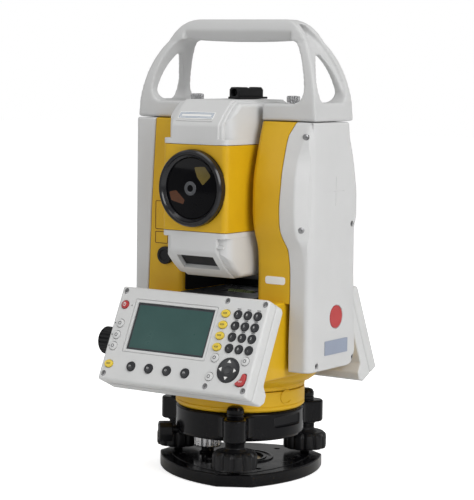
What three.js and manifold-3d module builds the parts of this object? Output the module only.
// Surveying total station on its tribrach, in millimetres, +Z up.
// The origin is on the vertical axis, at the underside of the tribrach's base plate.
// The objective looks along -Y; the side with the battery is -X.
import * as THREE from 'three';
import { mergeVertices } from 'three/addons/utils/BufferGeometryUtils.js';
import Module from 'manifold-3d';

const wasm = await Module();
wasm.setup();

// ---- driving dimensions -------------------------------------------------------------------
const GAP = 0.3;                    // between pieces that touch
const CHORD_ERROR = 0.25;           // how far a facet may lie inside a true circle

const SCREW_CIRCLE = 56;            // radius of the circle that the three foot screws stand on
const SCREW_ANGLES = [31, 151, 271];        // degrees from -Y towards +X: front, right, left
const SCREW_NAMES = ['front', 'right', 'left'];
const BASE_TOP = 9.2;               // base plate thickness
const BASE_VERTEX = 63.9;           // centre to the blunt corners of the base plate
const BASE_BLUNT = 13;              // half width of a blunt corner
const BASE_BULGE = 55.5;            // centre to the middle of a bowed side
const BARREL_BOTTOM = 15.5;         // underside of the lock spring barrel
const SOCKET_R = 7.94;              // 5/8 inch tripod screw
const KNOB_R = 16.5;                // foot screw knob
const KNOB_BOTTOM = 12.4;
const KNOB_TOP = 25.4;
const EAR_BOTTOM = 33.3;            // tribrach ears that the foot screws run in
const EAR_TOP = 49.6;
const EAR_HALF = 8.6;
const EAR_END = 70;
const CAP_TOP = 58.3;               // plug over the end of each foot screw
const VIAL_ANGLE = 211;             // the circular level sits behind, between two ears
const VIAL_SEAT = 47;
const LOCK_ANGLE = 311;             // the lock knob, between the left and the front screw
const LOCK_Z = 31;
const RING_R = 48;                  // tribrach ring
const RING_BOTTOM = 27.5;
const RING_TOP = 50.8;

const HOUSING_R = 48.3;             // round yellow housings under the alidade
const SEAM_Z = 66;                  // seam between the fixed lower housing and the turning alidade
const FLANGE_R = 57.5;
const FLANGE_BOTTOM = 73.5;
const BOX_BOTTOM = 79;              // alidade base box, which carries both keyboards
const BOX_TOP = 134;
const BOX_HALF_X = 58;
const SHAFT_R = 11;

const AXIS_Z = 214.9;               // trunnion axis
const STANDARD_IN = 33;             // inner faces of the two standards
const STANDARD_OUT = 60;
const STANDARD_HALF_Y = 28;
const SWELL = 10;                   // the right standard and its cover swell forward round the trunnion
const JOINT_Z = 263.5;              // top of the standards, where the handle is screwed on
const BODY_HALF_X = 79;             // outside of the two side covers
const COVER_BOTTOM = 84;

const HANDLE_TOP = 336.5;
const TELESCOPE_HALF = 28.3;        // half width of the telescope housing
const TELESCOPE_FRONT = -63;
const TELESCOPE_BACK = 35;
const OBJECTIVE_Y = -69.2;

const H_KNOB_Y = -40;                // horizontal clamp and tangent knobs, on an axis along X
const H_KNOB_Z = 93.5;
const V_KNOB_X = -48;               // vertical clamp and tangent knobs, on an axis along Y
const V_KNOB_Z = 161;
const HANDLE_SCREW_X = 43;
const BATTERY_HALF_Y = 20;
const BATTERY_LOW = 100;
const BATTERY_HIGH = 178;
const LATCH_HALF_Y = 7;
const LATCH_HIGH = 188;
const LATCH_TRAVEL = 3;

const PANEL_TILT = 25;              // degrees that each keyboard leans back
const PANEL_Y = 74;                 // a point of the keyboard face, from the vertical axis
const PANEL_Z = 108;
const PANEL_HALF_U = 65.5;
const PANEL_TOP_V = 34.5;
const PANEL_BOTTOM_V = -38;
const PANEL_DEPTH = 19.3;
const KEY_TRAVEL_ROOM = 1.2;        // free space between a key's stem and the rubber mat

// ---- materials ----------------------------------------------------------------------------
const paint = (color, roughness, metalness = 0) =>
  new THREE.MeshStandardMaterial({ color, roughness, metalness });
const YELLOW = paint(0xd29c18, 0.55);
const GREY = paint(0xc9c9c6, 0.5);
const BLACK = paint(0x141416, 0.4);
const RUBBER = paint(0x1c1c1e, 0.8);
const STEEL = paint(0xb8babc, 0.3, 1);
const BRASS = paint(0xb59a55, 0.35, 1);
const GLASS = paint(0x3a2a1a, 0.05);
const SCREEN = paint(0x40585a, 0.2);
const BOARD = paint(0x1f5b3a, 0.6);
const KEY_RED = paint(0xc8433c, 0.5);

// ---- solids: every shape is made by three.js, manifold-3d only joins and cuts ---------------
const station = new THREE.Group();

function solid(geometry, matrix) {
  if (matrix) geometry.applyMatrix4(matrix);
  geometry.deleteAttribute('normal');
  geometry.deleteAttribute('uv');
  const merged = mergeVertices(geometry, 1e-4);
  const points = merged.attributes.position.array;
  const triangles = Array.from(merged.index.array);
  if (signedVolume(points, triangles) < 0) triangles.reverse();
  return new wasm.Manifold(new wasm.Mesh({
    numProp: 3,
    vertProperties: new Float32Array(points),
    triVerts: new Uint32Array(triangles),
  }));
}

// negative where an outline was drawn clockwise, so that the faces point inwards
function signedVolume(points, triangles) {
  const corner = i => new THREE.Vector3().fromArray(points, 3 * i);
  let volume = 0;
  for (let t = 0; t < triangles.length; t += 3) {
    const [a, b, c] = triangles.slice(t, t + 3).map(corner);
    volume += a.dot(b.cross(c)) / 6;
  }
  return volume;
}

function node(name, body, material, group = station) {
  const cut = body.getMesh();
  const geometry = new THREE.BufferGeometry();
  geometry.setAttribute('position', new THREE.BufferAttribute(cut.vertProperties, 3));
  geometry.setIndex(new THREE.BufferAttribute(cut.triVerts, 1));
  geometry.computeVertexNormals();
  const mesh = new THREE.Mesh(geometry, material);
  mesh.name = name;
  group.add(mesh);
  return mesh;
}

const shift = (x, y, z) => new THREE.Matrix4().makeTranslation(x, y, z);
const join = (...bodies) => bodies.reduce((sum, body) => sum.add(body));
const cut = (first, ...others) => others.reduce((left, body) => left.subtract(body), first);
const mirrorX = body => body.mirror([1, 0, 0]);
const radians = THREE.MathUtils.degToRad;

// box from its lowest to its highest corner
function box(x0, y0, z0, x1, y1, z1) {
  const shape = new THREE.BoxGeometry(x1 - x0, y1 - y0, z1 - z0);
  return solid(shape, shift((x0 + x1) / 2, (y0 + y1) / 2, (z0 + z1) / 2));
}

const TO_X = new THREE.Matrix4().makeRotationZ(-Math.PI / 2);
const TO_Y = new THREE.Matrix4();
const TO_Z = new THREE.Matrix4().makeRotationX(Math.PI / 2);
const TURN = { x: TO_X, y: TO_Y, z: TO_Z };

// facets round a circle, as many as keep each within CHORD_ERROR of the true arc
const facets = radius =>
  Math.max(8, 2 * Math.ceil(Math.PI * Math.sqrt(radius / (2 * CHORD_ERROR)) / 2));

// body of revolution about an axis: points are [radius, height along the axis]
function turned(axis, points, centre = [0, 0, 0]) {
  const profile = points.map(([r, h]) => new THREE.Vector2(r, h));
  const segments = facets(Math.max(...profile.map(point => point.x)));
  const shape = new THREE.LatheGeometry([...profile, profile[0].clone()], segments);
  return solid(shape, shift(...centre).multiply(TURN[axis]));
}

// solid cylinder between two heights, with both edges chamfered
function rod(axis, radius, low, high, centre, chamfer = 0) {
  const ends = chamfer > 0
    ? [[0, low], [radius - chamfer, low], [radius, low + chamfer],
       [radius, high - chamfer], [radius - chamfer, high], [0, high]]
    : [[0, low], [radius, low], [radius, high], [0, high]];
  const profile = ends.map(([r, h]) => new THREE.Vector2(r, h));
  const shape = new THREE.LatheGeometry(profile, facets(radius));
  return solid(shape, shift(...centre).multiply(TURN[axis]));
}

// outline [a, b] pushed along an axis: z uses (x, y), x uses (y, z), y uses (x, z)
function pushed(axis, outline, low, high) {
  const shape = outline instanceof THREE.Shape
    ? outline : new THREE.Shape(outline.map(([a, b]) => new THREE.Vector2(a, b)));
  const geometry = new THREE.ExtrudeGeometry(shape, {
    depth: high - low, bevelEnabled: false, curveSegments: 4 });
  const place = new THREE.Matrix4();
  if (axis === 'x') place.makeBasis(new THREE.Vector3(0, 1, 0), new THREE.Vector3(0, 0, 1),
    new THREE.Vector3(1, 0, 0));
  if (axis === 'y') place.makeBasis(new THREE.Vector3(1, 0, 0), new THREE.Vector3(0, 0, 1),
    new THREE.Vector3(0, -1, 0));
  geometry.translate(0, 0, axis === 'y' ? -high : low);
  return solid(geometry, place);
}

// ring of grip lobes, as on a moulded knob
function lobed(radius, depth, lobes) {
  const steps = lobes * 4;
  return Array.from({ length: steps }, (_, i) => {
    const angle = (i / steps) * 2 * Math.PI;
    const r = radius - depth * (0.5 - 0.5 * Math.cos(angle * lobes)) ** 2;
    return [r * Math.cos(angle), r * Math.sin(angle)];
  });
}

// moulded knob on an axis along X or Y, pushed from low to high, centred at (a, z)
function gripKnob(axis, a, z, radius, low, high, lobes = 14) {
  const outline = lobed(radius, 0.9, lobes).map(([u, v]) => [a + u, z + v]);
  return pushed(axis, outline, low, high);
}

const polar = (radius, degrees) =>
  [radius * Math.sin(radians(degrees)), -radius * Math.cos(radians(degrees))];

// turns a body made on the -Y side round to an angle from -Y towards +X
const turnTo = (body, degrees) => body.rotate([0, 0, degrees]);

// ---- tribrach -----------------------------------------------------------------------------
function basePlateOutline(inset = 0) {
  const shape = new THREE.Shape();
  SCREW_ANGLES.forEach((degrees, i) => {
    const [x, y] = polar(BASE_VERTEX - inset, degrees);
    const tangent = polar(BASE_BLUNT, degrees + 90);
    const start = [x - tangent[0], y - tangent[1]];
    const end = [x + tangent[0], y + tangent[1]];
    if (i === 0) shape.moveTo(...start);
    shape.lineTo(...end);
    const next = polar(BASE_VERTEX - inset, degrees + 120);
    const nextTangent = polar(BASE_BLUNT, degrees + 210);
    const pull = polar(2 * (BASE_BULGE - inset) - 43, degrees + 60);
    shape.quadraticCurveTo(...pull, next[0] - nextTangent[0], next[1] - nextTangent[1]);
  });
  return shape;
}

function buildBasePlate() {
  let plate = pushed('z', basePlateOutline(), 0, BASE_TOP);
  const recess = rod('z', 30, -1, 3, [0, 0, 0]);
  const bore = rod('z', 17, -1, BASE_TOP + 1, [0, 0, 0]);
  plate = cut(plate, recess, bore);
  for (const degrees of SCREW_ANGLES) {
    const [x, y] = polar(SCREW_CIRCLE, degrees);
    plate = cut(plate, rod('z', 3.8, 4, BASE_TOP + 1, [x, y, 0]));
  }
  node('base_plate', plate, BLACK);

  const socket = turned('z', [[SOCKET_R, 0.4], [29.6, 0.4], [29.6, 2.7], [16.6, 2.7],
    [16.6, BASE_TOP - 0.4], [SOCKET_R, BASE_TOP - 0.4]]);
  node('tripod_screw_socket', socket, BRASS);
}

function buildFootScrew(name, degrees) {
  const [x, y] = polar(SCREW_CIRCLE, degrees);
  const knob = pushed('z', lobed(KNOB_R, 1.2, 12), KNOB_BOTTOM, KNOB_TOP).translate([x, y, 0]);
  const neck = rod('z', 8, KNOB_TOP - 1, EAR_BOTTOM - GAP, [x, y, 0]);
  const stud = rod('z', 4.2, EAR_BOTTOM - 2, EAR_TOP - 0.6, [x, y, 0]);
  const foot = rod('z', 3.4, 4.6, KNOB_BOTTOM + 1, [x, y, 0], 1);
  node(`foot_screw_${name}`, join(knob, neck, stud, foot), BLACK);
}

function buildTribrach() {
  // the ears grow out of the ring with a fillet on each side
  const earOutline = new THREE.Shape();
  earOutline.moveTo(-24, -36);
  earOutline.lineTo(-24, -41);
  earOutline.quadraticCurveTo(-EAR_HALF, -47, -EAR_HALF, -54);
  earOutline.lineTo(-EAR_HALF, -EAR_END + 5);
  earOutline.quadraticCurveTo(-EAR_HALF, -EAR_END, 0, -EAR_END);
  earOutline.quadraticCurveTo(EAR_HALF, -EAR_END, EAR_HALF, -EAR_END + 5);
  earOutline.lineTo(EAR_HALF, -54);
  earOutline.quadraticCurveTo(EAR_HALF, -47, 24, -41);
  earOutline.lineTo(24, -36);
  const ring = turned('z', [[0, RING_BOTTOM + 2], [36, RING_BOTTOM], [RING_R - 2, RING_BOTTOM],
    [RING_R, RING_BOTTOM + 3], [RING_R, RING_TOP - 1], [RING_R - 1, RING_TOP], [0, RING_TOP]],
  [0, 0, 0]);
  const ear = join(pushed('z', earOutline, EAR_BOTTOM, EAR_TOP),
    rod('z', 6.2, EAR_TOP - 1, CAP_TOP, [0, -SCREW_CIRCLE, 0], 1.2));
  const ears = SCREW_ANGLES.map(degrees => turnTo(ear, degrees));
  const vialBoss = turnTo(cut(
    join(box(-11, -60, 37, 11, -44, VIAL_SEAT), rod('z', 11, 37, VIAL_SEAT, [0, -60, 0])),
    rod('z', 8.2, 40, VIAL_SEAT + 1, [0, -60, 0])), VIAL_ANGLE);
  const cup = rod('z', 42, 34, RING_TOP + 1, [0, 0, 0]);
  const hole = rod('z', 22, 0, RING_TOP, [0, 0, 0]);
  const bores = SCREW_ANGLES.map(degrees => {
    const [x, y] = polar(SCREW_CIRCLE, degrees);
    return rod('z', 4.5, 0, EAR_TOP, [x, y, 0]);
  });
  const window = turnTo(box(-15.5, -60, 39, 15.5, -RING_R + 3.2, RING_TOP - 3), 84);
  const lockBore = turnTo(rod('y', 3.3, -60, -40, [0, 0, LOCK_Z]), LOCK_ANGLE);
  const casting = cut(join(ring, ...ears, vialBoss), cup, hole, window, lockBore, ...bores);
  node('tribrach_body', casting, BLACK);

  const lockTeeth = [0, 120, 240].map(degrees =>
    turnTo(box(-6, -30, 34.6, 6, -24.5, 37.6), degrees));
  const lockRing = turned('z', [[29, 34.6], [41, 34.6], [41, 37.6], [29, 37.6]], [0, 0, 0]);
  node('lock_ring', join(lockRing, ...lockTeeth), STEEL);

  // the lock knob turns about a radial axis; its pointer is a three-cornered grip
  const z = LOCK_Z;
  const grip = pushed('y', [[-9, z + 3], [-4, z + 5.5], [4, z + 5.5], [9, z + 3], [8, z - 3],
    [3, z - 9], [-3, z - 9], [-8, z - 3]], -61, -50.5);
  const stem = rod('y', 3, -51, -43, [0, 0, z]);
  node('lock_knob', turnTo(join(grip, stem), LOCK_ANGLE), BLACK);

  // the spring barrel hangs under the ring, on a thinner post from the base plate
  const barrel = pushed('z', lobed(10.5, 0.8, 18), BARREL_BOTTOM, RING_BOTTOM - 1);
  const post = rod('z', 5, BASE_TOP + GAP, BARREL_BOTTOM + 1, [0, 0, 0]);
  node('lock_spring_barrel', join(barrel, post).translate([-27, -3, 0]), STEEL);

  node('circular_vial', turnTo(
    rod('z', 7.9, 40 + GAP, VIAL_SEAT + 0.6, [0, -60, 0], 0.5), VIAL_ANGLE), GLASS);
}

// ---- fixed lower housing ------------------------------------------------------------------
function buildLowerHousing() {
  const shell = turned('z', [[SHAFT_R + GAP, 44], [22, 44], [22, 51.1], [HOUSING_R - 1.2, 51.1],
    [HOUSING_R, 52.3], [HOUSING_R, SEAM_Z], [44, SEAM_Z], [44, 55], [18, 55], [18, SEAM_Z - 2],
    [SHAFT_R + GAP, SEAM_Z - 2]], [0, 0, 0]);
  const pads = [91, 211, 331].map(degrees => {
    const [x, y] = polar(33, degrees);
    return rod('z', 4.5, 40, 52, [x, y, 0]);
  });
  node('lower_housing', join(shell, ...pads), YELLOW);

  const circle = turned('z', [[18 + GAP, 58], [42, 58], [42, 60], [18 + GAP, 60]], [0, 0, 0]);
  node('horizontal_circle', circle, GLASS);
}

// ---- alidade ------------------------------------------------------------------------------
// how far forward the base box reaches at a height, so that a leaning keyboard fits flat against it
function faceY(z) {
  const tilt = radians(PANEL_TILT);
  return PANEL_Y - (z - PANEL_Z) * Math.tan(tilt) - (PANEL_DEPTH + 2 * GAP) / Math.cos(tilt);
}

function buildFrame() {
  const skirt = turned('z', [[0, SEAM_Z + GAP], [HOUSING_R, SEAM_Z + GAP],
    [HOUSING_R, FLANGE_BOTTOM - 2], [FLANGE_R - 2, FLANGE_BOTTOM], [FLANGE_R, FLANGE_BOTTOM + 1.5],
    [FLANGE_R, BOX_BOTTOM + 1], [0, BOX_BOTTOM + 1]], [0, 0, 0]);
  const low = faceY(BOX_BOTTOM);
  const high = faceY(BOX_TOP);
  const profile = [[-low, BOX_BOTTOM], [low, BOX_BOTTOM], [high, BOX_TOP], [-high, BOX_TOP]];
  const baseBox = pushed('x', profile, -BOX_HALF_X, BOX_HALF_X);
  const wall = 4;
  const inside = pushed('x', [[-low + 9, BOX_BOTTOM + wall], [low - 9, BOX_BOTTOM + wall],
    [high - 5, BOX_TOP - wall - 1], [-high + 5, BOX_TOP - wall - 1]],
  -BOX_HALF_X + wall, BOX_HALF_X - wall);
  const cableWindow = box(-30, -90, 96, 30, 90, 116);
  const standard = cut(
    box(STANDARD_IN, -STANDARD_HALF_Y, BOX_TOP - 1, STANDARD_OUT, STANDARD_HALF_Y, JOINT_Z - GAP),
    box(STANDARD_IN + 4, -STANDARD_HALF_Y + 4, BOX_TOP + 4,
      STANDARD_OUT + 1, STANDARD_HALF_Y - 4, JOINT_Z - 6),
    rod('x', 13.3, STANDARD_IN - 1, STANDARD_IN + 5, [0, 0, AXIS_Z]),
    rod('z', 2.8, JOINT_Z - 8, JOINT_Z + 1, [HANDLE_SCREW_X, 0, 0]));
  const y = -STANDARD_HALF_Y;
  const swelling = pushed('x', [[y + 1, 174], [y + 1, 257], [y - 0.6 * SWELL, 240], [y - SWELL, 222],
    [y - SWELL, 196], [y - 0.8 * SWELL, 186]], STANDARD_IN, STANDARD_OUT);
  let frame = join(skirt, baseBox, standard, mirrorX(standard), swelling);
  frame = cut(frame, inside, cableWindow,
    rod('z', SHAFT_R + GAP, 0, BOX_BOTTOM + 6, [0, 0, 0]),
    rod('z', 40, SEAM_Z - 1, BOX_BOTTOM - 4, [0, 0, 0]),
    rod('x', 6.4, -BOX_HALF_X - 1, -BOX_HALF_X + 6, [0, H_KNOB_Y, H_KNOB_Z]),
    rod('y', 6.4, STANDARD_HALF_Y - 6, STANDARD_HALF_Y + 1, [V_KNOB_X, 0, V_KNOB_Z]),
    rod('y', 5.2, -STANDARD_HALF_Y - 1, -STANDARD_HALF_Y + 6, [V_KNOB_X, 0, V_KNOB_Z]),
    box(-15, -7.5, BOX_TOP - 6, 15, 7.5, BOX_TOP + 1));
  node('alidade_frame', frame, YELLOW);

  const shaft = join(rod('z', SHAFT_R, 45, BOX_BOTTOM + 5, [0, 0, 0], 1),
    rod('z', 20, BOX_BOTTOM + 4 + GAP, BOX_BOTTOM + 8, [0, 0, 0]));
  node('vertical_axis_shaft', shaft, STEEL);
  node('main_board', box(-45, -28, 92, 45, 28, 94), BOARD);

  const vial = join(box(-14.6, -7.1, BOX_TOP - 5.6, 14.6, 7.1, BOX_TOP + 1.4),
    rod('x', 4.6, -13, 13, [0, 0, BOX_TOP - 2.6]));
  node('plate_vial', vial, GLASS);
  const springCap = join(
    rod('y', 6.6, -STANDARD_HALF_Y - 4, -STANDARD_HALF_Y - GAP, [V_KNOB_X, 0, V_KNOB_Z], 0.8),
    rod('y', 4.8, -STANDARD_HALF_Y - 1, -STANDARD_HALF_Y + 14, [V_KNOB_X, 0, V_KNOB_Z]));
  node('tangent_spring_cap', springCap, BLACK);
}

// ---- side covers: shallow pans that close the open outer side of each standard ---------------
function coverOutline(inset, swell) {
  const front = -STANDARD_HALF_Y + inset;
  const shape = new THREE.Shape();
  shape.moveTo(front, COVER_BOTTOM + inset);
  shape.lineTo(27 - inset, COVER_BOTTOM + inset);
  shape.quadraticCurveTo(36 - inset, COVER_BOTTOM + inset, 36 - inset, COVER_BOTTOM + 12);
  shape.lineTo(32.5 - inset, 154);
  shape.lineTo(32 - inset, 187);
  shape.lineTo(35 - inset, 194);
  shape.lineTo(34.5 - inset, 213);
  shape.quadraticCurveTo(33 - inset, 240, 24 - inset, 251);
  shape.lineTo(22 - inset, JOINT_Z - GAP - inset);
  shape.lineTo(front, JOINT_Z - GAP - inset);
  shape.lineTo(front, 256);
  if (swell) {
    shape.quadraticCurveTo(front - swell, 246, front - swell, 222);
    shape.lineTo(front - swell, 196);
    shape.quadraticCurveTo(front - swell, 184, front, 174);
  }
  return shape;
}

function coverPan(swell) {
  const inner = STANDARD_OUT + GAP;
  const outside = pushed('x', coverOutline(0, swell), inner, BODY_HALF_X);
  return cut(outside, pushed('x', coverOutline(3, swell), inner - 1, BODY_HALF_X - 3));
}

function buildCovers() {
  node('right_cover', coverPan(SWELL), GREY);
  const bay = box(-BODY_HALF_X - 1, -BATTERY_HALF_Y - GAP, BATTERY_LOW - GAP,
    -STANDARD_OUT, BATTERY_HALF_Y + GAP, BATTERY_HIGH + GAP);
  const latchSlot = box(-BODY_HALF_X - 1, -LATCH_HALF_Y - GAP, BATTERY_HIGH + 1.4,
    -STANDARD_OUT, LATCH_HALF_Y + GAP, LATCH_HIGH + LATCH_TRAVEL + 0.6);
  node('left_cover', cut(mirrorX(coverPan(0)), bay, latchSlot), GREY);
  node('battery_pack', box(-BODY_HALF_X, -BATTERY_HALF_Y, BATTERY_LOW,
    -STANDARD_OUT - 2, BATTERY_HALF_Y, BATTERY_HIGH), GREY);
  const latchLow = BATTERY_HIGH + 1.8;
  const latch = join(
    box(-BODY_HALF_X - 1, -LATCH_HALF_Y, latchLow, -BODY_HALF_X + 6, LATCH_HALF_Y, LATCH_HIGH),
    box(-BODY_HALF_X + 3.4, -LATCH_HALF_Y - 4, latchLow,
      -BODY_HALF_X + 6, LATCH_HALF_Y + 4, LATCH_HIGH));
  node('battery_latch', latch, BLACK);
}

// ---- carrying handle ----------------------------------------------------------------------
function buildHandle() {
  const foot = JOINT_Z + GAP;
  const footTop = 276;
  const outer = new THREE.Shape();
  outer.moveTo(-78.6, foot);
  outer.lineTo(78.6, foot);
  outer.quadraticCurveTo(77.5, 300, 59, 323);
  outer.quadraticCurveTo(50, HANDLE_TOP, 38, HANDLE_TOP);
  outer.lineTo(-38, HANDLE_TOP);
  outer.quadraticCurveTo(-50, HANDLE_TOP, -59, 323);
  outer.quadraticCurveTo(-77.5, 300, -78.6, foot);
  const hole = new THREE.Shape();
  hole.moveTo(-33, 250);
  hole.lineTo(33, 250);
  hole.lineTo(33, footTop);
  hole.lineTo(60, footTop);
  hole.quadraticCurveTo(67, footTop + 2, 67, 286);
  hole.quadraticCurveTo(65, 304, 56, 316);
  hole.quadraticCurveTo(52, 321.5, 46, 321.5);
  hole.quadraticCurveTo(0, 318.5, -46, 321.5);
  hole.quadraticCurveTo(-52, 321.5, -56, 316);
  hole.quadraticCurveTo(-65, 304, -67, 286);
  hole.quadraticCurveTo(-67, footTop + 2, -60, footTop);
  hole.lineTo(-33, footTop);
  const hoop = cut(pushed('y', outer, -26, 26), pushed('y', hole, -27, 27));

  const side = new THREE.Shape();
  side.moveTo(-26, 260);
  side.lineTo(26, 260);
  side.lineTo(26, footTop);
  side.quadraticCurveTo(23, 306, 13, 320);
  side.quadraticCurveTo(12, 334, 5, 337);
  side.lineTo(-5, 337);
  side.quadraticCurveTo(-12, 334, -13, 320);
  side.quadraticCurveTo(-23, 306, -26, footTop);
  const window = new THREE.Shape();
  window.moveTo(-13, footTop + 1);
  window.lineTo(13, footTop + 1);
  window.quadraticCurveTo(17.5, footTop + 2, 17.5, footTop + 8);
  window.quadraticCurveTo(12, 302, 2.5, 311);
  window.lineTo(-2.5, 311);
  window.quadraticCurveTo(-12, 302, -17.5, footTop + 8);
  window.quadraticCurveTo(-17.5, footTop + 2, -13, footTop + 1);
  let handle = hoop.intersect(pushed('x', side, -80, 80));
  handle = cut(handle, pushed('x', window, -90, 90));
  for (const x of [-HANDLE_SCREW_X, HANDLE_SCREW_X]) {
    handle = cut(handle, rod('z', 2.8, foot - 1, footTop + 1, [x, 0, 0]));
  }
  node('handle', handle, GREY);

  [['left', -1], ['right', 1]].forEach(([name, sign]) => {
    const at = [sign * HANDLE_SCREW_X, 0, 0];
    const head = pushed('z', lobed(4.9, 0.4, 12), footTop + 0.4, footTop + 5.4).translate(at);
    const shank = rod('z', 2.5, JOINT_Z - 5.5, footTop + 1, at);
    node(`handle_screw_${name}`, join(head, shank), STEEL);
  });
}

// ---- telescope ----------------------------------------------------------------------------
function buildTelescope() {
  const coverFoot = 31.4;                   // the covers start this far above and below the axis
  const roof = [[TELESCOPE_FRONT, coverFoot], [TELESCOPE_BACK, coverFoot], [TELESCOPE_BACK, 45],
    [23, 63], [-45, 63], [-56, 53.5], [TELESCOPE_FRONT, 45]];
  const keel = [[TELESCOPE_FRONT, -coverFoot], [TELESCOPE_FRONT, -45], [-56, -53.5], [-48, -60.8],
    [-40, -65.5], [20, -65.5], [TELESCOPE_BACK, -48], [TELESCOPE_BACK, -coverFoot]];
  const lift = outline => outline.map(([y, z]) => [y, AXIS_Z + z]);
  const hollow = (outline, wall) => outline.map(([y, z]) =>
    [Math.min(Math.max(y, TELESCOPE_FRONT + wall), TELESCOPE_BACK - wall),
      Math.abs(z) > 50 ? z - Math.sign(z) * wall : z - Math.sign(z) * 1]);
  const cover = outline => cut(
    pushed('x', lift(outline), -TELESCOPE_HALF, TELESCOPE_HALF),
    pushed('x', lift(hollow(outline, 4)), -TELESCOPE_HALF + 3, TELESCOPE_HALF - 3));
  node('telescope_top_cover', cover(roof), GREY);
  node('telescope_bottom_cover', cover(keel), GREY);

  const trunnion = 24;
  const tube = rod('y', 20, TELESCOPE_FRONT - 20, TELESCOPE_BACK + 20, [0, 0, AXIS_Z]);
  const mouth = rod('y', 25.4, TELESCOPE_FRONT - 1, TELESCOPE_FRONT + 12, [0, 0, AXIS_Z]);
  const housing = cut(
    box(-TELESCOPE_HALF, TELESCOPE_FRONT, AXIS_Z - coverFoot + GAP,
      TELESCOPE_HALF, TELESCOPE_BACK, AXIS_Z + coverFoot - GAP),
    tube, mouth,
    rod('x', 8.3, trunnion - 1, 40, [0, 0, AXIS_Z]),
    rod('x', 8.3, -40, -trunnion + 1, [0, 0, AXIS_Z]));
  node('telescope_housing', housing, YELLOW);

  // objective: a barrel screwed into the mouth, with the glass set back in it
  node('objective_barrel', turned('y', [[20.5, TELESCOPE_FRONT + 11], [25, TELESCOPE_FRONT + 11],
    [25, TELESCOPE_FRONT - GAP], [27.5, TELESCOPE_FRONT - GAP], [27.5, OBJECTIVE_Y + 1.5],
    [26, OBJECTIVE_Y], [24, OBJECTIVE_Y], [23.2, TELESCOPE_FRONT + 2], [20.5, TELESCOPE_FRONT + 6]],
  [0, 0, AXIS_Z]), BLACK);
  const lens = rod('y', 19.7, TELESCOPE_FRONT + 12, TELESCOPE_FRONT + 18, [0, 0, AXIS_Z], 0.6);
  node('objective_lens', lens, GLASS);

  const tail = TELESCOPE_BACK + GAP;
  node('eyepiece_tube', turned('y', [[10, tail - 20], [18.6, tail - 20], [18.6, tail + 24],
    [12, tail + 26], [10, tail + 26]], [0, 0, AXIS_Z]), BLACK);
  const grip = lobed(23.5, 1, 20).map(([u, v]) => [u, AXIS_Z + v]);
  const focus = pushed('y', grip, tail + 1, tail + 19);
  node('focus_ring', cut(focus, rod('y', 19, tail, tail + 20, [0, 0, AXIS_Z])), RUBBER);
  node('eyepiece_ring', turned('y', [[0, tail + 27], [12.5, tail + 27], [14, tail + 29],
    [14, tail + 36], [12.5, tail + 38], [8, tail + 38], [8, tail + 34], [0, tail + 33]],
  [0, 0, AXIS_Z]), RUBBER);

  const sightZ = AXIS_Z + 63 + GAP;
  const sight = join(box(-6, -18, sightZ, 6, 18, sightZ + 1.6),
    box(-4.6, -16, sightZ + 1, 4.6, 15, sightZ + 8));
  node('optical_sight', sight, BLACK);

  for (const [name, sign] of [['left', -1], ['right', 1]]) {
    let stub = rod('x', 8, trunnion, STANDARD_OUT - 6, [0, 0, AXIS_Z], 0.5);
    stub = join(stub, rod('x', 12, TELESCOPE_HALF + GAP, STANDARD_IN - 0.8, [0, 0, AXIS_Z]));
    node(`trunnion_${name}`, sign < 0 ? mirrorX(stub) : stub, STEEL);
    const bearing = turned('x', [[8.3, STANDARD_IN + 0.2], [13, STANDARD_IN + 0.2],
      [13, STANDARD_IN + 9], [8.3, STANDARD_IN + 9]], [0, 0, AXIS_Z]);
    node(`trunnion_bearing_${name}`, sign < 0 ? mirrorX(bearing) : bearing, BRASS);
  }
  const circle = turned('x', [[8.3, 46], [22, 46], [22, 48], [8.3, 48]], [0, 0, AXIS_Z]);
  node('vertical_circle', mirrorX(circle), GLASS);
}

// ---- clamp and tangent knobs ----------------------------------------------------------------
function buildKnobs() {
  const faceX = -BOX_HALF_X - 1;
  const h = [0, H_KNOB_Y, H_KNOB_Z];
  const clampX = join(
    gripKnob('x', H_KNOB_Y, H_KNOB_Z, 10.6, faceX - 15, faceX),
    rod('x', 6, faceX - 1, faceX + 6, h));
  node('horizontal_clamp', cut(clampX, rod('x', 3.4, faceX - 20, faceX + 20, h)), BLACK);
  const tangentX = join(
    gripKnob('x', H_KNOB_Y, H_KNOB_Z, 10.6, faceX - 38.5, faceX - 15.5),
    rod('x', 3.1, faceX - 17, faceX + 10, h));
  node('horizontal_tangent', tangentX, BLACK);

  const faceV = STANDARD_HALF_Y + 1;
  const v = [V_KNOB_X, 0, V_KNOB_Z];
  const clampY = join(
    gripKnob('y', V_KNOB_X, V_KNOB_Z, 10.6, faceV, faceV + 12),
    rod('y', 6, faceV - 6, faceV + 1, v));
  node('vertical_clamp', cut(clampY, rod('y', 3.4, faceV - 20, faceV + 20, v)), BLACK);
  const tangentY = join(
    gripKnob('y', V_KNOB_X, V_KNOB_Z, 10.6, faceV + 12.5, faceV + 33),
    rod('y', 3.1, faceV - 10, faceV + 14, v));
  node('vertical_tangent', tangentY, BLACK);
}

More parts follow.
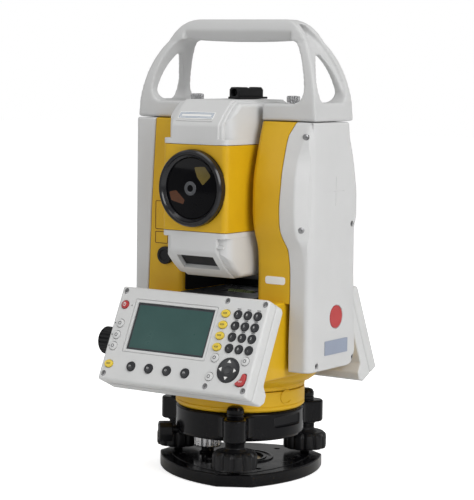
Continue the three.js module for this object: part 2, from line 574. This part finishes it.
// ---- keyboards: made flat, u across, v up the face, w out of it, then tilted into place --------
const KEY_R = 3.1;
const LCD = { left: -47.9, right: 21.3, low: -13, high: 23.2 };
const FUNCTION_KEYS = [-38.2, -22.2, -6.1, 10].map(u => [u, -25.8]);
const NUMBER_KEYS = [41.5, 49.9, 58.3].flatMap(u => [21.4, 13, 4.6, -3.9].map(v => [u, v]));
const MENU_KEYS = [21.3, 12.8, 4.6, -3.9].map(v => [31.1, v]);
const SMALL_KEYS = [[-58.3, 5.6], [-58.8, -3.4], [-59.2, -12], [-58.5, -25.7], [31.9, -11.8],
  [57.8, -11.9], [31.3, -25.8]];
const POWER_KEY = [-58.8, 20.1];
const NAV_PAD = [45.6, -19.6];
const NAV_R = 9.1;
const ENTER_KEY = [58, -25.5];
const CASE_SCREWS = [-61.2, 29.6, 61.8].flatMap(u => [30.6, -33.2].map(v => [u, v]));

function faceOutline(inset) {
  const right = PANEL_HALF_U - inset;
  const top = PANEL_TOP_V - inset;
  const low = PANEL_BOTTOM_V + inset;
  const shape = new THREE.Shape();
  shape.moveTo(-right + 2, low);
  shape.lineTo(right - 2, low);
  shape.lineTo(right, low + 2);
  shape.lineTo(right, top - 6);
  shape.quadraticCurveTo(right - 3, top - 1, right - 9, top);
  shape.lineTo(-right + 2, top);
  shape.lineTo(-right, top - 2);
  shape.lineTo(-right, low + 2);
  return shape;
}

const keyStem = ([u, v], r, low, high) => rod('z', r, low, high, [u, v, 0]);

function enterKey(grow, low, high) {
  const [u, v] = ENTER_KEY;
  const shape = new THREE.Shape();
  shape.moveTo(u - 4.2 - grow, v - 3.6 - grow);
  shape.quadraticCurveTo(u + 3.5 + grow, v - 6 - grow, u + 4 + grow, v + 1);
  shape.quadraticCurveTo(u + 4 + grow, v + 6.2 + grow, u + 1 - grow, v + 5 + grow);
  shape.quadraticCurveTo(u + 0.6 - grow, v, u - 4.2 - grow, v - 3.6 + grow * 3);
  return pushed('z', shape, low, high);
}

function buildKeyboard(side, turn) {
  const panel = new THREE.Group();
  panel.rotation.set(radians(90 - PANEL_TILT), 0, 0);
  panel.position.set(0, -PANEL_Y, PANEL_Z);
  const holder = new THREE.Group();
  holder.rotation.z = radians(turn);
  holder.add(panel);
  station.add(holder);
  const name = part => `${side}_${part}`;
  const plate = 4;                         // thickness of the bezel's face
  const matTop = -plate - 0.6 - KEY_TRAVEL_ROOM;
  const moving = side === 'rear' ? [] : FUNCTION_KEYS;
  const moulded = side === 'rear' ? FUNCTION_KEYS : [];
  const still = [...NUMBER_KEYS, ...MENU_KEYS, ...SMALL_KEYS, ...moulded];

  let bezel = pushed('z', faceOutline(0), -10, 0);
  bezel = cut(bezel, pushed('z', faceOutline(3), -11, -plate),
    box(LCD.left, LCD.low, -5, LCD.right, LCD.high, 1),
    keyStem(POWER_KEY, KEY_R + 0.9, -5, 1), keyStem(NAV_PAD, NAV_R + GAP, -5, 1),
    enterKey(GAP, -5, 1));
  for (const key of [...still, ...moving]) bezel = cut(bezel, keyStem(key, KEY_R + 0.7, -5, 1));
  for (const screw of CASE_SCREWS) bezel = cut(bezel, keyStem(screw, 1.9, -1.5, 1));
  node(name('bezel'), bezel, GREY, panel);

  let mat = cut(pushed('z', faceOutline(3.4), matTop - 1.3, matTop),
    box(LCD.left - 4, LCD.low - 4, -20, LCD.right + 4, LCD.high + 4, 1));
  for (const key of still) mat = join(mat, keyStem(key, KEY_R + 0.3, matTop - 1, 1.5));
  node(name('keypad_mat'), mat, RUBBER, panel);

  node(name('display'), join(
    box(LCD.left + GAP, LCD.low + GAP, -5, LCD.right - GAP, LCD.high - GAP, -1.2),
    box(LCD.left - 2.5, LCD.low - 2.5, -7.6, LCD.right + 2.5, LCD.high + 2.5, -plate - GAP)),
  SCREEN, panel);

  const depth = -PANEL_DEPTH;
  const backProfile = [[PANEL_BOTTOM_V, -10.3], [PANEL_TOP_V, -10.3], [PANEL_TOP_V, depth + 3],
    [PANEL_TOP_V - 3, depth], [-23, depth], [-28, depth - 6], [-34, depth - 6.5],
    [PANEL_BOTTOM_V, depth - 2]];
  const backInside = [[PANEL_BOTTOM_V + 3, -9], [PANEL_TOP_V - 3, -9], [PANEL_TOP_V - 3, depth + 4],
    [PANEL_TOP_V - 4, depth + 3], [-24, depth + 3], [-29, depth - 3], [-33, depth - 3.5],
    [PANEL_BOTTOM_V + 3, depth]];
  const tub = cut(pushed('x', backProfile, -PANEL_HALF_U, PANEL_HALF_U),
    pushed('x', backInside, -PANEL_HALF_U + 3, PANEL_HALF_U - 3));
  const topCorner = pushed('z', faceOutline(0), -40, 0);
  node(name('keyboard_shell'), tub.intersect(topCorner), GREY, panel);

  const stemLow = -plate - 0.6;
  moving.forEach((key, i) =>
    node(name(`function_key_${i + 1}`), keyStem(key, KEY_R + 0.4, stemLow, 1.6), BLACK, panel));
  node(name('power_key'), keyStem(POWER_KEY, KEY_R + 0.6, stemLow, 1.6), KEY_RED, panel);
  node(name('navigation_pad'), keyStem(NAV_PAD, NAV_R, stemLow, 1.2), BLACK, panel);
  node(name('enter_key'), enterKey(0, stemLow, 1.6), KEY_RED, panel);
}

buildBasePlate();
SCREW_NAMES.forEach((name, i) => buildFootScrew(name, SCREW_ANGLES[i]));
buildTribrach();
buildLowerHousing();
buildFrame();
buildCovers();
buildHandle();
buildTelescope();
buildKnobs();
buildKeyboard('front', 0);
buildKeyboard('rear', 180);

export default station;
